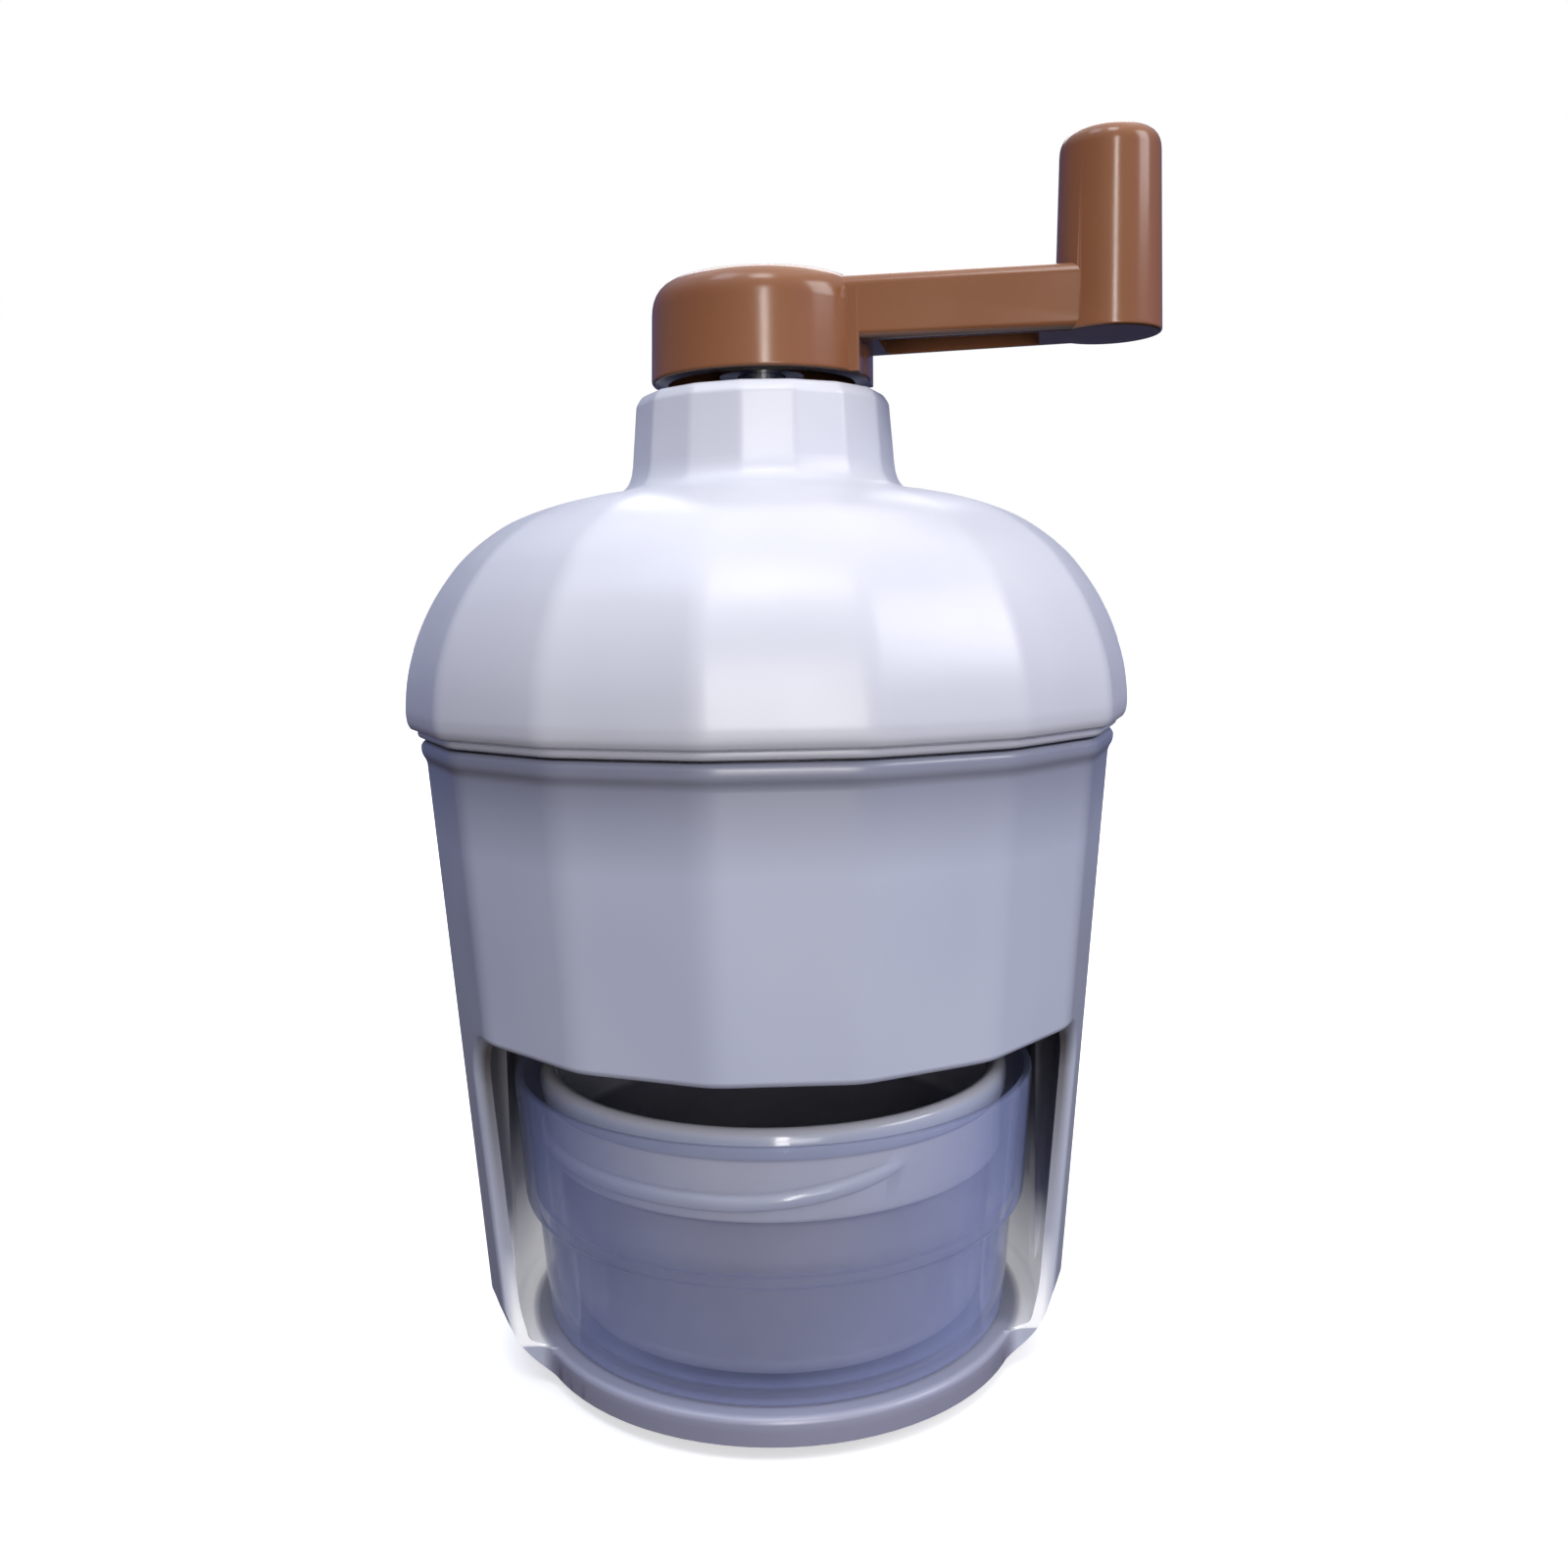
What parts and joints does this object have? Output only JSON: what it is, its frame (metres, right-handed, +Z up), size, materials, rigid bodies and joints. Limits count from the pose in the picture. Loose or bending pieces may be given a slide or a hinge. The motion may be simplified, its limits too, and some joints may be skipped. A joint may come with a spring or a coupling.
{
  "type": "ice shaver",
  "caption": "Hand-crank ice shaver: faceted body with a front window, domed lid, sprung crank shaft with toothed presser, blade chamber, clear cup and ice mould.",
  "frame": {"origin": "On the floor, under the axis of the crank, at the middle of the base pad's underside.", "axes": "+Z up along the crank's axis, -Y out of the front window, +X to the right as seen from the front."},
  "size_m": [0.1314, 0.1276, 0.2164],
  "materials": {
    "white_plastic": "satin moulded",
    "brown_plastic": "satin moulded",
    "clear_plastic": "clear, faint blue",
    "milky_plastic": "translucent milky",
    "grey_plastic": "matt moulded",
    "rubber": "matt",
    "seal": "soft, pale",
    "steel": "brushed",
    "spring_steel": "drawn wire"
  },
  "bodies": {
    "base": {"body_shell": "white_plastic", "base_pad": "rubber", "ice_chamber": "white_plastic", "chamber_screw_1": "steel", "chamber_screw_2": "steel", "chamber_screw_3": "steel", "blade": "steel", "blade_clamp": "steel", "blade_screw_1": "steel", "blade_screw_2": "steel"},
    "seal_ring": {"lid_seal": "seal"},
    "lid": {"lid_dome": "white_plastic", "neck_bush": "grey_plastic", "pressure_spring": "spring_steel"},
    "press_washer": {"thrust_washer": "steel"},
    "crank": {"drive_shaft": "steel", "crank_handle": "brown_plastic", "hub_pin": "steel", "presser_plate": "white_plastic", "toothed_plate": "steel", "presser_nut": "steel"},
    "cup": {"receiver_cup": "clear_plastic"},
    "mould": {"ice_mould": "milky_plastic"}
  },
  "joints": [
    {"name": "lid_lift", "type": "slide", "parent": "base", "child": "seal_ring", "axis": [0, 0, 1], "range_m": [0, 0.062]},
    {"name": "lid_turn", "type": "hinge", "parent": "seal_ring", "child": "lid", "pos_m": [0, 0, 0.1167], "axis": [0, 0, 1], "range_deg": [0, 22.5]},
    {"name": "press_lift", "type": "slide", "parent": "lid", "child": "press_washer", "axis": [0, 0, 1], "range_m": [0, 0.036], "stiffness_N_per_m": 200, "springref_m": -0.03, "deforming": ["pressure_spring"]},
    {"name": "crank_spin", "type": "hinge", "parent": "press_washer", "child": "crank", "pos_m": [0, 0, 0.13], "axis": [0, 0, 1], "continuous": true},
    {"name": "cup_pull", "type": "slide", "parent": "base", "child": "cup", "axis": [0, -1, 0], "range_m": [0, 0.12]},
    {"name": "mould_lift", "type": "slide", "parent": "cup", "child": "mould", "axis": [0, 0, 1], "range_m": [0, 0.0096]}
  ]
}
